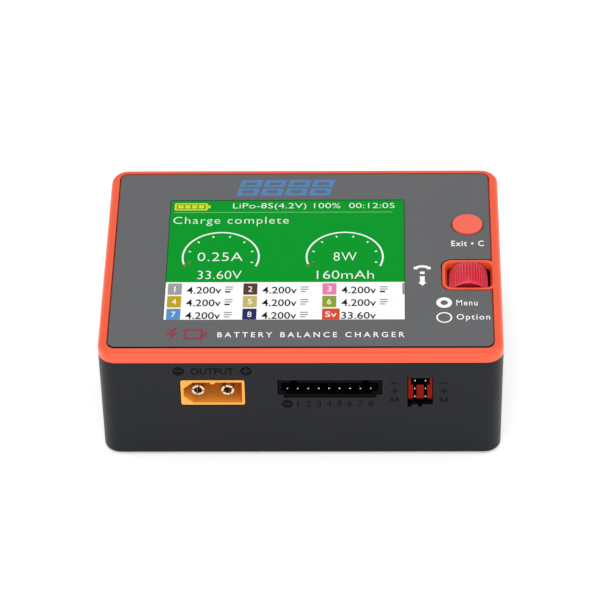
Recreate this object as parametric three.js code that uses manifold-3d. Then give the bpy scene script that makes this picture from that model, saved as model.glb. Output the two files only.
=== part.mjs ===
// Balance battery charger for model batteries: a two-part plastic case with a colour display,
// an exit key, a push-and-roll control wheel, a power socket at each end, a balance socket and
// a servo test socket. Millimetres, +Z up, the front face looks along -Y, and the origin is on
// the table under the middle of the case.

import * as THREE from "three";
import { mergeVertices } from "three/addons/utils/BufferGeometryUtils.js";
import Module from "manifold-3d";

const wasm = await Module();
wasm.setup();

// ---------------------------------------------------------------- driving dimensions
const WIDTH = 96.6;
const DEPTH = 69.4;
const CASE_BOTTOM = 0.4; // how far the rubber feet stand proud of the case
const PARTING = 29.9; // where the top cover meets the lower case
const COVER_TOP = 33.2;
const CORNER = 4.3; // plan radius of the case corners
const WALL = 2;
const DRAFT = 0.2; // how far the lower case draws in from its top to its floor
const AIR = 0.1; // gap between fitted, taped or soldered pieces
const FLOOR_TOP = CASE_BOTTOM + WALL;
const HALF_W = WIDTH / 2;
const HALF_D = DEPTH / 2;

const RIM = { side: 2.15, front: 1.65, back: 1.9, round: 1.4 }; // the cover's rim in plan, and its outer edge
const PANEL = { top: 33.15, thick: 1.2, gap: 0.35, corner: 2.1 };
const DECK = { bottom: 30.45, top: PANEL.top - PANEL.thick - AIR };
const SCREEN = { x: -4.05, y: -0.2, width: 58, height: 45.1 };

const BUTTON = { x: 40.4, y: 12.55, radius: 3.75, top: 33.6, bottom: 29, flange: 4.7, flangeThick: 1.1 };
const WHEEL = { x: 40.3, radius: 4.9, front: -10.25, back: -2.75, axis: 29.6, axle: 0.8, ribs: 44 };
const AXLE_PLAY = 0.05; // running clearance around the wheel's axle
const WELL = {
  mouth: [[34.65, 46.15], [-11.25, -1.8]], // the opening at the top of the cover
  throat: [[35.25, 45.65], [-11, -2.1]], // the opening through the deck
  outside: [[34, 47], [-11.9, -0.95]], // the wall that stands around it
  corner: 1.2,
  funnel: 1.3, // depth over which the mouth narrows
};
const BOARD = { bottom: 25.2, top: 26.8 };
const POWER_BOARD = { bottom: 11.8, top: 13.4 };
const BOSS = { x: 43.3, y: 29.7, radius: 3.2, hole: 1.35 };
const FOOT = { x: 34, y: 24.5, radius: 4, thick: 1.2 };

const POWER_PLUG = { x: -21.1, z: 20.35, width: 15.3, height: 7.8, wall: 0.65, length: 16, pitch: 7.1 };
const POWER_PIN = { radius: 1.55, bore: 1, slot: 0.3, setBack: 1, turns: [12, -27] };
const BALANCE = { x: 6.9, low: 18.9, step: 19.9, high: 24.15, width: 24.6, foot: 21.85 };
const BALANCE_PINS = { x: 6.7, z: 20.45, count: 9, pitch: 2.5, setBack: 1.25 };
const SERVO = { x: 28.45, low: 18.4, high: 24.8, width: 5.7 };
const SERVO_PINS = { columns: 2, rows: 3, pitch: 2.54, top: 23.4, setBack: 0.8 };
const FAN = { x: -24, z: 15, size: 25, front: 22.2, back: 32.2, bore: 11.6 };

// ---------------------------------------------------------------- materials
const material = (color, roughness, metalness = 0) =>
  new THREE.MeshStandardMaterial({ color, roughness, metalness });

const finish = {
  case: material(0x2b2d31, 0.55),
  cover: material(0xff6a48, 0.45),
  panel: material(0x6d6e70, 0.6),
  glass: material(0x0d9c2e, 0.15),
  tray: material(0xc9ccd0, 0.4, 0.8),
  ribbon: material(0xb5772c, 0.5),
  key: material(0xff6a55, 0.45),
  wheel: material(0xc22f45, 0.35),
  steel: material(0xb9bcc2, 0.3, 1),
  blackPlastic: material(0x15161a, 0.5),
  amberPlastic: material(0xf2a63a, 0.4),
  redPlastic: material(0xd63a10, 0.45),
  plating: material(0xe6c777, 0.25, 1),
  pinMetal: material(0xd8d8da, 0.25, 1),
  circuit: material(0x17324a, 0.5),
  aluminium: material(0xa9adb2, 0.35, 1),
  ferrite: material(0x3a3c40, 0.6),
  sleeve: material(0x20242c, 0.35),
  rubber: material(0x1b1b1c, 0.85),
};

// ---------------------------------------------------------------- solids
const object = new THREE.Group();

// A closed three.js geometry as a solid that can be joined and cut.
function solid(geometry) {
  const bare = geometry.index ? geometry.toNonIndexed() : geometry.clone();
  bare.deleteAttribute("normal");
  bare.deleteAttribute("uv");
  const merged = mergeVertices(bare, 1e-4);
  return new wasm.Manifold(
    new wasm.Mesh({
      numProp: 3,
      vertProperties: merged.attributes.position.array,
      triVerts: new Uint32Array(merged.index.array),
    }),
  );
}

// Adds a solid to a group as one named mesh, and returns the mesh.
function node(name, made, surface, group = object) {
  const { vertProperties, triVerts } = made.getMesh();
  const geometry = new THREE.BufferGeometry()
    .setAttribute("position", new THREE.BufferAttribute(vertProperties, 3))
    .setIndex(new THREE.BufferAttribute(triVerts, 1));
  geometry.computeVertexNormals();
  const mesh = new THREE.Mesh(geometry, surface);
  mesh.name = name;
  group.add(mesh);
  return mesh;
}

// A box from its lowest and highest value on each axis.
function box([x0, x1], [y0, y1], [z0, z1]) {
  const block = new THREE.BoxGeometry(x1 - x0, y1 - y0, z1 - z0);
  return solid(block.translate((x0 + x1) / 2, (y0 + y1) / 2, (z0 + z1) / 2));
}

// An upright cylinder.
function post(x, y, radius, z0, z1, sides = 24) {
  const rod = new THREE.CylinderGeometry(radius, radius, z1 - z0, sides).rotateX(Math.PI / 2);
  return solid(rod.translate(x, y, (z0 + z1) / 2));
}

// A cylinder that lies along Y.
function shaft(x, z, radius, y0, y1, sides = 24) {
  const rod = new THREE.CylinderGeometry(radius, radius, y1 - y0, sides);
  return solid(rod.translate(x, (y0 + y1) / 2, z));
}

// An outline in plan, raised from z0 to z1.
function plate(outline, z0, z1, curveSegments = 6) {
  const raised = new THREE.ExtrudeGeometry(outline, { depth: z1 - z0, bevelEnabled: false, curveSegments });
  return solid(raised.translate(0, 0, z0));
}

// An outline seen from the front (x, z), run from y0 to y1.
function bar(outline, y0, y1, curveSegments = 6) {
  const run = new THREE.ExtrudeGeometry(outline, { depth: y1 - y0, bevelEnabled: false, curveSegments });
  return solid(run.rotateX(Math.PI / 2).translate(0, y1, 0));
}

// A rectangle with round corners, from its lowest and highest x and y.
function roundedRect([x0, x1], [y0, y1], r) {
  const shape = new THREE.Shape();
  shape.absarc(x1 - r, y1 - r, r, 0, Math.PI / 2);
  shape.absarc(x0 + r, y1 - r, r, Math.PI / 2, Math.PI);
  shape.absarc(x0 + r, y0 + r, r, Math.PI, 1.5 * Math.PI);
  shape.absarc(x1 - r, y0 + r, r, 1.5 * Math.PI, 2 * Math.PI);
  return shape;
}

// The same rectangle about a centre.
const centredRect = (width, depth, r, x = 0, y = 0) =>
  roundedRect([x - width / 2, x + width / 2], [y - depth / 2, y + depth / 2], r);

// The inside of the case walls in plan, drawn in by some play, with its own corner radius.
const insideOutline = (play = 0, corner = CORNER - WALL) =>
  centredRect(WIDTH - 2 * (WALL + play), DEPTH - 2 * (WALL + play), corner);

const polygon = (points) => new THREE.Shape(points.map(([x, y]) => new THREE.Vector2(x, y)));

// The case outline, drawn in by each ring's inset at its height, skinned into one block.
function shellBlock(rings) {
  const steps = 8;
  const vertices = [];
  for (const [inset, z] of rings) {
    for (let corner = 0; corner < 4; corner++) {
      const cx = (corner === 0 || corner === 3 ? 1 : -1) * (HALF_W - CORNER);
      const cy = (corner < 2 ? 1 : -1) * (HALF_D - CORNER);
      for (let i = 0; i <= steps; i++) {
        const angle = ((corner + i / steps) * Math.PI) / 2;
        const r = CORNER - inset;
        vertices.push(cx + r * Math.cos(angle), cy + r * Math.sin(angle), z);
      }
    }
  }
  const around = 4 * (steps + 1);
  const faces = [];
  for (let ring = 0; ring < rings.length - 1; ring++) {
    for (let i = 0; i < around; i++) {
      const a = ring * around + i;
      const b = ring * around + ((i + 1) % around);
      faces.push(a, b, b + around, a, b + around, a + around);
    }
  }
  const last = (rings.length - 1) * around;
  for (let i = 1; i < around - 1; i++) {
    faces.push(0, i + 1, i, last, last + i, last + i + 1);
  }
  const geometry = new THREE.BufferGeometry();
  geometry.setAttribute("position", new THREE.Float32BufferAttribute(vertices, 3));
  geometry.setIndex(faces);
  return solid(geometry);
}

// Rings for a quarter-round edge: from the upright side at z up (sign 1) or down (sign -1).
function roundedEdge(radius, z, sign, inset = 0, steps = 4) {
  return Array.from({ length: steps + 1 }, (_, i) => {
    const angle = ((i / steps) * Math.PI) / 2;
    return [inset + radius * (1 - Math.cos(angle)), z + sign * radius * Math.sin(angle)];
  });
}

const joined = (solids) => wasm.Manifold.union(solids);
const fourCorners = [[1, 1], [-1, 1], [-1, -1], [1, -1]];

// ---------------------------------------------------------------- socket outlines, seen from the front
const plugSpan = (grow = 0) => [
  [POWER_PLUG.x - POWER_PLUG.width / 2 - grow, POWER_PLUG.x + POWER_PLUG.width / 2 + grow],
  [POWER_PLUG.z - POWER_PLUG.height / 2 - grow, POWER_PLUG.z + POWER_PLUG.height / 2 + grow],
];

// The keyed opening of a power socket: a rectangle whose left end is cut to a point.
function keyedOpening() {
  const [[x0, x1], [z0, z1]] = plugSpan(-POWER_PLUG.wall);
  const [cutX, cutZ] = [2.3, 2];
  return polygon([
    [x1, z0], [x1, z1], [x0 + cutX, z1], [x0, z1 - cutZ], [x0, z0 + cutZ], [x0 + cutX, z0],
  ]);
}

// The balance socket's outline, wide above the step and narrow below it.
function balanceOutline(grow) {
  const wide = BALANCE.width / 2 + grow;
  const narrow = BALANCE.foot / 2 + grow;
  const { x, low, step, high } = BALANCE;
  return polygon([
    [x + narrow, low - grow], [x + narrow, step - grow], [x + wide, step - grow], [x + wide, high + grow],
    [x - wide, high + grow], [x - wide, step - grow], [x - narrow, step - grow], [x - narrow, low - grow],
  ]);
}

// ---------------------------------------------------------------- lower case
function grilleSlots() {
  const pitch = 3;
  const slot = 1.7;
  const reach = FAN.bore - 0.6;
  const slots = [];
  for (let z = -3 * pitch; z <= 3 * pitch; z += pitch) {
    const half = Math.sqrt(reach * reach - (Math.abs(z) + slot / 2) ** 2);
    const spans = Math.abs(z) < pitch ? [[-half, -1], [1, half]] : [[-half, half]];
    for (const [a, b] of spans) {
      const height = [FAN.z + z - slot / 2, FAN.z + z + slot / 2];
      slots.push(box([FAN.x + a, FAN.x + b], [HALF_D - WALL - 1, HALF_D + 1], height));
    }
  }
  return joined(slots);
}

function sideVents() {
  const slot = 1.6;
  const vents = [];
  for (let y = -18; y <= 14; y += 4) {
    for (const side of [-1, 1]) {
      const across = [side * HALF_W - WALL - 1, side * HALF_W + WALL + 1];
      vents.push(box(across, [y - slot / 2, y + slot / 2], [7, 19]));
    }
  }
  return joined(vents);
}

function lowerCase() {
  const fillet = 0.8;
  const clearance = 0.2;
  const reach = 1;
  const outer = shellBlock([
    ...roundedEdge(fillet, CASE_BOTTOM + fillet, -1, DRAFT).reverse(),
    [0, PARTING - AIR],
  ]);
  const inside = plate(insideOutline(), FLOOR_TOP, PARTING + 1);
  const frontWall = [-HALF_D - reach, -HALF_D + WALL + reach];
  const plugHole = roundedRect(...plugSpan(clearance), 0.6);
  const inputHole = bar(plugHole, ...frontWall).rotate([0, 0, 180]);
  const servoHalf = SERVO.width / 2 + clearance;
  const servoFloor = SERVO.low - 1.95; // the plug's body reaches lower than the insert
  const servoHole = joined([
    box([SERVO.x - servoHalf, SERVO.x + servoHalf], frontWall, [servoFloor, SERVO.high + clearance]),
    box([SERVO.x - servoHalf, SERVO.x - servoHalf + 1], frontWall, [servoFloor - 0.75, SERVO.low]),
    box([SERVO.x - 0.5, SERVO.x + 0.5], frontWall, [servoFloor - 0.75, SERVO.low]),
  ]);
  const bosses = fourCorners.map(([i, j]) =>
    post(i * BOSS.x, j * BOSS.y, BOSS.radius, CASE_BOTTOM + 1, BOARD.bottom - AIR));
  const holes = fourCorners.flatMap(([i, j]) => [
    post(i * BOSS.x, j * BOSS.y, 2.7, CASE_BOTTOM - 1, CASE_BOTTOM + 2.8),
    post(i * BOSS.x, j * BOSS.y, BOSS.hole, CASE_BOTTOM, BOARD.bottom + 1, 16),
    post(i * FOOT.x, j * FOOT.y, FOOT.radius + AIR, CASE_BOTTOM - 1, FOOT.thick + AIR),
  ]);
  return outer
    .subtract(inside)
    .add(joined(bosses).intersect(outer))
    .subtract(joined([
      bar(plugHole, ...frontWall), inputHole, servoHole,
      bar(balanceOutline(clearance), ...frontWall),
      grilleSlots(), sideVents(), ...holes,
    ]));
}

function screw(x, y) {
  const seat = CASE_BOTTOM + 2.8;
  const head = post(x, y, 2.3, seat - AIR - 1.6, seat - AIR);
  const drive = post(x, y, 1.1, seat - 3, seat - 0.9, 6);
  return head.add(post(x, y, 0.95, seat - 1, DECK.bottom + 0.2, 16)).subtract(drive);
}

// ---------------------------------------------------------------- top cover, panel and display
function topCover() {
  const outer = shellBlock([[0, PARTING], ...roundedEdge(RIM.round, COVER_TOP - RIM.round, 1)]);
  const openX = HALF_W - RIM.side;
  const opening = roundedRect([-openX, openX], [-HALF_D + RIM.front, HALF_D - RIM.back], PANEL.corner);
  const surround = roundedRect(...WELL.outside, 2 * WELL.corner);
  const surroundWall = plate(surround, DECK.top - 1, COVER_TOP + 2);
  const recess = plate(opening, DECK.top, COVER_TOP + 1).subtract(surroundWall);
  const mouth = plate(roundedRect(...WELL.mouth, 1.5 * WELL.corner), COVER_TOP, COVER_TOP + 1);
  const throat = roundedRect(...WELL.throat, WELL.corner);
  const throatTop = COVER_TOP - WELL.funnel;
  const funnel = wasm.Manifold.hull([mouth, plate(throat, throatTop - AIR, throatTop)]);
  const hollow = plate(insideOutline(), PARTING - 1, DECK.bottom);
  const lipOuter = plate(insideOutline(0.15, 2.8), PARTING - 2, DECK.bottom + 0.2);
  const lipInner = plate(insideOutline(1.15, 1.8), PARTING - 3, DECK.bottom);
  const controls = [WHEEL.front - 2.5, BUTTON.y + BUTTON.flange + 1]; // the lip stops beside wheel and key
  const lipNotches = joined([
    box([WHEEL.x + WHEEL.radius - 0.5, HALF_W - WALL - 0.1], controls, [PARTING - 3, DECK.bottom]),
    ...fourCorners.map(([i, j]) => post(i * BOSS.x, j * BOSS.y, BOSS.radius + 0.2, PARTING - 3, DECK.bottom)),
  ]);
  const bosses = fourCorners.map(([i, j]) =>
    post(i * BOSS.x, j * BOSS.y, BOSS.radius - 0.4, BOARD.top + AIR, DECK.bottom + 0.3));
  const displayHole = centredRect(SCREEN.width + 0.6, SCREEN.height + 0.6, 0.8, SCREEN.x, SCREEN.y);
  const openings = joined([
    plate(displayHole, PARTING - 1, COVER_TOP + 1),
    post(BUTTON.x, BUTTON.y, BUTTON.radius + 0.35, PARTING - 1, COVER_TOP + 1, 32),
    funnel,
    plate(throat, PARTING - 1, throatTop),
    box(WELL.throat[0], [WHEEL.front - 2, ENCODER.back + 0.3], [PARTING - 1, ENCODER.top + 0.2]),
    ...fourCorners.map(([i, j]) => post(i * BOSS.x, j * BOSS.y, 1.1, BOARD.top - 1, DECK.bottom + 0.5, 16)),
  ]);
  const lip = lipOuter.subtract(lipInner).subtract(lipNotches);
  return outer.subtract(recess).subtract(hollow).add(lip).add(joined(bosses)).subtract(openings);
}

function facePanel() {
  const { gap, corner, top, thick } = PANEL;
  const sheet = centredRect(WIDTH - 2 * (RIM.side + gap), DEPTH - 2 * (RIM.back + gap), corner - gap);
  const [[left, right], [front, back]] = WELL.outside;
  const aroundWell = roundedRect([left - gap, right + 1], [front - gap, back + gap], 2 * WELL.corner + gap);
  return plate(sheet, top - thick, top).subtract(joined([
    plate(centredRect(SCREEN.width, SCREEN.height, 0.5, SCREEN.x, SCREEN.y), 0, COVER_TOP),
    post(BUTTON.x, BUTTON.y, BUTTON.radius + 0.2, 0, COVER_TOP, 32),
    plate(aroundWell, 0, COVER_TOP),
  ]));
}

const TRAY = { width: 69, height: 50, bottom: 27.8, top: 30.3 };

function displayTray() {
  const tray = plate(centredRect(TRAY.width, TRAY.height, 1, SCREEN.x, SCREEN.y), TRAY.bottom, TRAY.top);
  return tray.subtract(plate(centredRect(62, 46.8, 0.5, SCREEN.x, SCREEN.y), 29.3, TRAY.top + 1));
}

function displayGlass() {
  const stack = plate(centredRect(61.6, 46.4, 0.5, SCREEN.x, SCREEN.y), 29.4, 30.35);
  const face = centredRect(SCREEN.width - 0.2, SCREEN.height - 0.2, 0.4, SCREEN.x, SCREEN.y);
  return stack.add(plate(face, 30, PANEL.top - AIR));
}

// The display's flat cable leaves the tray's left end and folds under it onto the board.
function displayRibbon() {
  const thick = 0.25;
  const left = SCREEN.x - TRAY.width / 2;
  const [bend, z, r] = [left - 2, 27.875, 0.825];
  const fold = new THREE.Shape();
  fold.moveTo(left - AIR, z + r);
  fold.lineTo(bend, z + r);
  fold.absarc(bend, z, r, Math.PI / 2, 1.5 * Math.PI);
  fold.lineTo(left + 4, z - r);
  fold.lineTo(left + 4, z - r + thick);
  fold.lineTo(bend, z - r + thick);
  fold.absarc(bend, z, r - thick, 1.5 * Math.PI, Math.PI / 2, true);
  fold.lineTo(left - AIR, z + r - thick);
  return bar(fold, -10, 10);
}

// ---------------------------------------------------------------- exit key
function exitButton() {
  const { radius, top, bottom, flange, flangeThick } = BUTTON;
  const edge = 0.3;
  const profile = [
    [0, bottom], [flange, bottom], [flange, bottom + flangeThick], [radius, bottom + flangeThick],
    [radius, top - edge], [radius - edge, top], [0, top],
  ].map(([r, z]) => new THREE.Vector2(r, z));
  const turned = new THREE.LatheGeometry(profile, 32).rotateX(Math.PI / 2);
  return solid(turned.translate(BUTTON.x, BUTTON.y, 0));
}

function pushSwitch(x, y, size, height, hole) {
  const base = BOARD.top + 0.05;
  const body = box([x - size / 2, x + size / 2], [y - size / 2, y + size / 2], [base, base + height]);
  return body.subtract(post(x, y, hole, base + 0.4, base + height + 1));
}

// ---------------------------------------------------------------- control wheel
const AXLE_END = 0.8; // the axle ends inside the encoder

function ribbedWheel() {
  const { ribs, radius, front, back, x, axis } = WHEEL;
  const groove = 0.3;
  const collar = 0.4;
  const outline = [];
  for (let rib = 0; rib < ribs; rib++) {
    for (const [share, r] of [[0, radius], [0.5, radius], [0.68, radius - groove], [0.82, radius - groove]]) {
      const angle = ((rib + share) / ribs) * 2 * Math.PI;
      outline.push([x + r * Math.cos(angle), axis + r * Math.sin(angle)]);
    }
  }
  const drum = bar(polygon(outline), front + collar, back);
  const cone = new THREE.CylinderGeometry(radius - 0.15, radius - 0.65, collar, 48);
  const ring = solid(cone.translate(x, front + collar / 2, axis)).add(
    shaft(x, axis, radius - 0.4, front + collar - 0.05, front + collar + 0.05, 48));
  const dish = 3.6;
  return drum.add(ring).subtract(joined([
    shaft(x, axis, dish, front - 1, front + 0.4, 32),
    shaft(x, axis, dish, back - 0.4, back + 1, 32),
    shaft(x, axis, WHEEL.axle + AXLE_PLAY, front - 2, back + 2),
  ]));
}

// The cradle hangs the wheel between an ear at its front and the encoder at its back. An arm to
// the left of the wheel reaches over the push switch.
const CRADLE = { left: 34.2, front: WHEEL.front - 1.4, bottom: 22.4 };
const ENCODER = { left: 36.3, right: 44.3, back: 2.65, top: WHEEL.axis + 1.4 };
const ROLLER_SWITCH = { x: 32.3, y: (WHEEL.front + WHEEL.back) / 2, size: 3.2, height: 1.4 };

function wheelCradle() {
  const { left, front, bottom } = CRADLE;
  const floor = bottom + 1;
  const [armLow, armHigh] = [28.85, 29.75];
  const { x, y, size } = ROLLER_SWITCH;
  const base = box([left, WHEEL.x + WHEEL.radius], [front, ENCODER.back + 0.05], [bottom, floor]);
  const ear = box([WHEEL.x - 1.7, WHEEL.x + 1.7], [front, WHEEL.front - 0.25], [floor - 0.4, ENCODER.top]);
  const side = box([left, left + 0.8], [y - 3, y + 3], [floor - 0.4, armHigh]);
  const arm = box([x - 1.1, left + 0.8], [y - size / 2, y + size / 2], [armLow, armHigh]);
  const hole = shaft(WHEEL.x, WHEEL.axis, WHEEL.axle + AXLE_PLAY, front - 1, WHEEL.front + 1);
  return joined([base, ear, side, arm]).subtract(hole);
}

function wheelEncoder() {
  const { left, right, back, top } = ENCODER;
  const body = box([left, right], [WHEEL.back + 0.2, back], [CRADLE.bottom + 1.1, top]);
  return body.subtract(shaft(WHEEL.x, WHEEL.axis, WHEEL.axle + AXLE_PLAY, WHEEL.back - 1, AXLE_END + 0.2));
}

// ---------------------------------------------------------------- circuit boards and what they carry
function controlBoard() {
  const across = HALF_W - WALL - 0.4;
  const deep = HALF_D - WALL - 0.4;
  const sheet = plate(centredRect(2 * across, 2 * deep, 2.4), BOARD.bottom, BOARD.top);
  const half = FAN.size / 2 + 0.6;
  return sheet.subtract(joined([
    ...fourCorners.map(([i, j]) => post(i * BOSS.x, j * BOSS.y, 1.5, 0, 40, 16)),
    box([FAN.x - half, FAN.x + half], [FAN.front - 0.4, HALF_D], [0, 40]),
    box([CRADLE.left - 0.2, HALF_W], [CRADLE.front - 0.6, ENCODER.back + 0.8], [0, 40]),
  ]));
}

const powerBoard = () =>
  plate(roundedRect([-38.5, 38.5], [-31.5, 21.4], 1), POWER_BOARD.bottom, POWER_BOARD.top);

function heatSink() {
  const [left, right] = [-36, 36];
  const [finTop, top, bottom] = [8.9, POWER_BOARD.bottom - 1.4, FLOOR_TOP + 0.2];
  const fins = [box([left, right], [-28, 20], [finTop, top])];
  for (let x = left; x < right; x += 4.1) {
    fins.push(box([x, x + 1.2], [-28, 20], [bottom, finTop + 0.5]));
  }
  return joined(fins);
}

function transistor(x) {
  const z = POWER_BOARD.bottom - AIR;
  return box([x - 5, x + 5], [-12, -3], [z - 1.2, z]).add(box([x - 4, x + 4], [-3.5, 0], [z - 0.6, z]));
}

function capacitor(x, y) {
  const profile = [[0, 0], [4, 0], [4, 1.2], [3.7, 1.5], [4, 1.8], [4, 9.6], [3.7, 10], [0, 10]];
  const can = new THREE.LatheGeometry(profile.map(([r, h]) => new THREE.Vector2(r, h)), 20);
  return solid(can.rotateX(Math.PI / 2).translate(x, y, POWER_BOARD.top + AIR));
}

// ---------------------------------------------------------------- fan
function fanFrame() {
  const { x, z, size, front, back, bore } = FAN;
  const half = size / 2;
  const middle = [front, front + 1];
  const struts = [0, 1, 2].map((i) => {
    const arm = box([-0.9, 0.9], middle, [4, bore + 0.4]).rotate([0, 120 * i + 30, 0]);
    return arm.translate([x, 0, z]);
  });
  const hub = shaft(x, z, 5.6, front, front + 1.5).subtract(shaft(x, z, 0.9, front + 0.3, front + 3, 12));
  const holes = fourCorners.map(([i, j]) =>
    shaft(x + i * 10.4, z + j * 10.4, 1.3, front - 1, back + 1, 12));
  return bar(roundedRect([x - half, x + half], [z - half, z + half], 2), front, back)
    .subtract(shaft(x, z, bore, front - 1, back + 1, 40))
    .add(joined([...struts, hub]))
    .subtract(joined(holes));
}

function fanRotor() {
  const { x, z, front, back, bore } = FAN;
  const [near, far] = [front + 2, back - 0.7];
  const blades = [];
  for (let blade = 0; blade < 7; blade++) {
    const vane = box([-3.4, 3.4], [-0.4, 0.4], [5, bore + 1]).rotate([0, 0, 48]);
    blades.push(vane.rotate([0, (blade * 360) / 7, 0]).translate([x, (near + far) / 2, z]));
  }
  const sweep = shaft(x, z, bore - 0.6, near + 0.2, far, 32);
  const pin = shaft(x, z, 0.8, front + 0.6, near + 1, 12);
  return joined(blades).intersect(sweep).add(shaft(x, z, 6.3, near, far, 28)).add(pin);
}

// The fan's lead runs up the back of the boards to the control board.
function fanLead() {
  const route = new THREE.CatmullRomCurve3(
    [[-11.3, 27, 6], [-9, 27, 6.4], [-6.4, 26.6, 9], [-5.4, 26, 14], [-5.4, 25.4, 20], [-5.4, 25, 25]]
      .map((p) => new THREE.Vector3(...p)),
  );
  const section = new THREE.Shape();
  section.absarc(0, 0, 0.9, 0, 2 * Math.PI);
  return solid(new THREE.ExtrudeGeometry(section, { steps: 16, curveSegments: 4, extrudePath: route }));
}

// ---------------------------------------------------------------- sockets and their pins
function powerSocket() {
  const { x, z, length } = POWER_PLUG;
  const face = -HALF_D + AIR;
  const body = bar(roundedRect(...plugSpan(), 0.5), face, face + length, 2);
  const keyTop = z + POWER_PLUG.height / 2 - 0.3;
  const key = box([x - 0.55, x + 0.55], [face, face + 6], [keyTop - 0.9, keyTop]);
  const bores = powerPinPlaces.map((at) =>
    shaft(at, z, POWER_PIN.radius + 0.05, face + 5, face + length + 1));
  return body.subtract(bar(keyedOpening(), face - 1, face + 9)).add(key).subtract(joined(bores));
}

const powerPinPlaces = [POWER_PLUG.x - POWER_PLUG.pitch / 2, POWER_PLUG.x + POWER_PLUG.pitch / 2];

// A split tube that plugs in at the front, with a solder tail up to the board at the back.
function powerPin(x, turn) {
  const { z, length } = POWER_PLUG;
  const { radius, bore, slot } = POWER_PIN;
  const tip = -HALF_D + POWER_PIN.setBack;
  const back = -HALF_D + AIR + length;
  const reach = 2 * radius;
  const slots = joined([
    box([-reach, reach], [tip - 1, tip + 5], [-slot / 2, slot / 2]),
    box([-slot / 2, slot / 2], [tip - 1, tip + 5], [-reach, reach]),
  ]).rotate([0, turn, 0]).translate([x, 0, z]);
  const tail = box([x - 0.9, x + 0.9], [back + 0.2, back + 1.8], [z, BOARD.bottom - AIR]);
  return shaft(x, z, radius, tip, back + 1.8, 20)
    .subtract(shaft(x, z, bore, tip - 1, tip + 6, 16))
    .subtract(slots)
    .add(tail);
}

const PIN_HALF = 0.32;

// A square pin that runs back from its tip and turns up to the board. Tip and tail are set back
// from the front of the case.
function squarePin(x, z, tip, tail) {
  const across = [x - PIN_HALF, x + PIN_HALF];
  const bend = [tail - PIN_HALF - HALF_D, tail + PIN_HALF - HALF_D];
  const point = tip + 0.4 - HALF_D;
  const along = box(across, [point, bend[1]], [z - PIN_HALF, z + PIN_HALF]);
  const end = box([x - 0.16, x + 0.16], [tip - HALF_D, point], [z - 0.16, z + 0.16]);
  const taper = wasm.Manifold.hull([end, box(across, [point, point + 0.1], [z - PIN_HALF, z + PIN_HALF])]);
  return joined([along, taper, box(across, bend, [z - PIN_HALF, BOARD.bottom - AIR])]);
}

// Square holes that give pins 0.05 mm of room where they pass through a socket's back.
function pinHoles(places) {
  const half = PIN_HALF + 0.05;
  const depth = [-HALF_D, -HALF_D + 12];
  return joined(places.map(([x, z]) => box([x - half, x + half], depth, [z - half, z + half])));
}

const balancePinPlaces = Array.from({ length: BALANCE_PINS.count }, (_, i) => [
  BALANCE_PINS.x + (i - (BALANCE_PINS.count - 1) / 2) * BALANCE_PINS.pitch,
  BALANCE_PINS.z,
]);

function balanceSocket() {
  const face = -HALF_D + 0.2;
  const wall = -0.75;
  const notches = [-1, 1].map((side) => {
    const at = BALANCE.x + side * 8.5;
    return box([at - 0.8, at + 0.8], [face - 1, face + 5], [BALANCE.high - 1, BALANCE.high + 1]);
  });
  return bar(balanceOutline(0), face, face + 8.8)
    .subtract(bar(balanceOutline(wall), face - 1, face + 6.6))
    .subtract(joined(notches))
    .subtract(pinHoles(balancePinPlaces));
}

const servoPinPlaces = [];
for (let column = 0; column < SERVO_PINS.columns; column++) {
  for (let row = 0; row < SERVO_PINS.rows; row++) {
    const { pitch, top } = SERVO_PINS;
    servoPinPlaces.push([SERVO.x + (column - 0.5) * pitch, top - row * pitch]);
  }
}

function servoSocket() {
  const face = -HALF_D + AIR;
  const half = SERVO.width / 2;
  const wall = 0.6;
  const depth = [face - 1, face + 6];
  const shoulder = SERVO_PINS.top - 0.6;
  const block = box([SERVO.x - half, SERVO.x + half], [face, face + 8], [SERVO.low, SERVO.high]);
  const foot = box([SERVO.x - half, SERVO.x + half], [face + 6, face + 8], [SERVO.low - 0.8, SERVO.low + 1]);
  const room = box([SERVO.x - half + wall, SERVO.x + half - wall], depth, [shoulder, SERVO.high + 1]);
  const slots = [-0.5, 0.5].map((column) => {
    const at = SERVO.x + column * SERVO_PINS.pitch;
    return box([at - 0.4, at + 0.4], depth, [SERVO.low - 1, shoulder + 0.1]);
  });
  return block.add(foot).subtract(joined([room, ...slots])).subtract(pinHoles(servoPinPlaces));
}

// ---------------------------------------------------------------- the assembly
node("lower_case", lowerCase(), finish.case);
node("top_cover", topCover(), finish.cover);
node("face_panel", facePanel(), finish.panel);
fourCorners.forEach(([i, j], n) => {
  node(`case_screw_${n + 1}`, screw(i * BOSS.x, j * BOSS.y), finish.steel);
  node(`rubber_foot_${n + 1}`, post(i * FOOT.x, j * FOOT.y, FOOT.radius, 0, FOOT.thick), finish.rubber);
});

node("display_glass", displayGlass(), finish.glass);
node("display_frame", displayTray(), finish.tray);
node("display_flex", displayRibbon(), finish.ribbon);

node("exit_button", exitButton(), finish.key);
node("exit_switch", pushSwitch(BUTTON.x, BUTTON.y, 5.2, 1.5, 1.2), finish.blackPlastic);
node("exit_switch_plunger", post(BUTTON.x, BUTTON.y, 1, 27.85, 28.95, 16), finish.steel);

node("roller", ribbedWheel(), finish.wheel);
node("roller_axle", shaft(WHEEL.x, WHEEL.axis, WHEEL.axle, CRADLE.front + 0.1, AXLE_END, 24), finish.steel);
node("roller_cradle", wheelCradle(), finish.blackPlastic);
node("roller_encoder", wheelEncoder(), finish.blackPlastic);
const { x: switchX, y: switchY, size, height } = ROLLER_SWITCH;
node("roller_switch", pushSwitch(switchX, switchY, size, height, 1), finish.blackPlastic);
node("roller_switch_plunger", post(switchX, switchY, 0.8, 27.8, 28.8, 16), finish.steel);

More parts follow.
